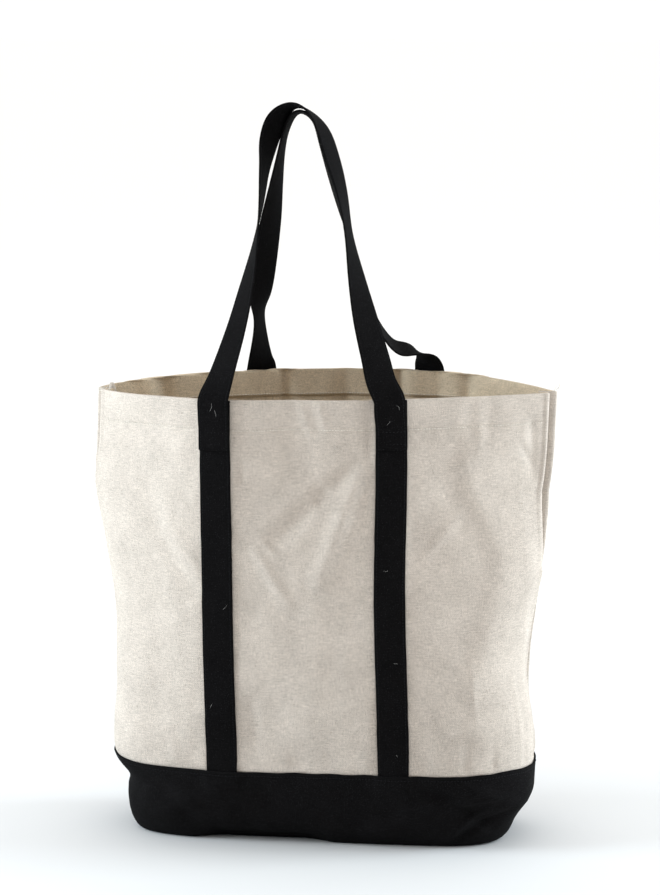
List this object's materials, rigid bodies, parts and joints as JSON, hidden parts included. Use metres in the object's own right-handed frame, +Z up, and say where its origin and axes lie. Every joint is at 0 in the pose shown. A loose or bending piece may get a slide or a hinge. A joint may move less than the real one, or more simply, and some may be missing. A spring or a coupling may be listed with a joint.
{
  "type": "canvas tote bag",
  "caption": "Open-topped canvas tote bag with a contrast base, sewn strap bands and shoulder handles that fold outward.",
  "frame": {"origin": "on the floor under the middle of the base", "axes": "+Z up, +X towards the right-hand side seam as seen from the front, -Y out of the front panel"},
  "size_m": [0.47, 0.2055, 0.746],
  "materials": {
    "natural_canvas": "plain-weave unbleached cotton canvas with slubs and dark flecks, matt",
    "black_canvas": "plain-weave black cotton canvas, matt",
    "black_strap": "folded and edge-stitched black canvas strap, matt with a little lint",
    "binding_tape": "natural cotton bias tape",
    "natural_thread": "undyed cotton sewing thread",
    "black_thread": "black cotton sewing thread"
  },
  "bodies": {
    "bag": {"front_panel": "natural_canvas", "back_panel": "natural_canvas", "base_panel": "black_canvas", "front_left_band": "black_strap", "front_right_band": "black_strap", "back_left_band": "black_strap", "back_right_band": "black_strap", "front_handle_sewn_ends": "black_strap", "back_handle_sewn_ends": "black_strap", "left_side_binding": "binding_tape", "right_side_binding": "binding_tape", "front_hem_stitching": "natural_thread", "back_hem_stitching": "natural_thread", "base_seam_stitching": "black_thread", "left_side_stitching": "natural_thread", "right_side_stitching": "natural_thread", "base_corner_stitching": "black_thread", "front_band_stitching": "black_thread", "back_band_stitching": "black_thread", "front_tack_stitching": "black_thread", "back_tack_stitching": "black_thread"},
    "front_handle": {"front_handle": "black_strap", "front_handle_stitching": "black_thread"},
    "back_handle": {"back_handle": "black_strap", "back_handle_stitching": "black_thread"}
  },
  "joints": [
    {"name": "front_handle_swing", "type": "hinge", "parent": "bag", "child": "front_handle", "pos_m": [0, -0.09086, 0.4284], "axis": [0.9925, 0.1222, 0], "range_deg": [0, 165]},
    {"name": "back_handle_swing", "type": "hinge", "parent": "bag", "child": "back_handle", "pos_m": [0, 0.09086, 0.4284], "axis": [-0.9925, -0.1222, 0], "range_deg": [0, 165]}
  ]
}
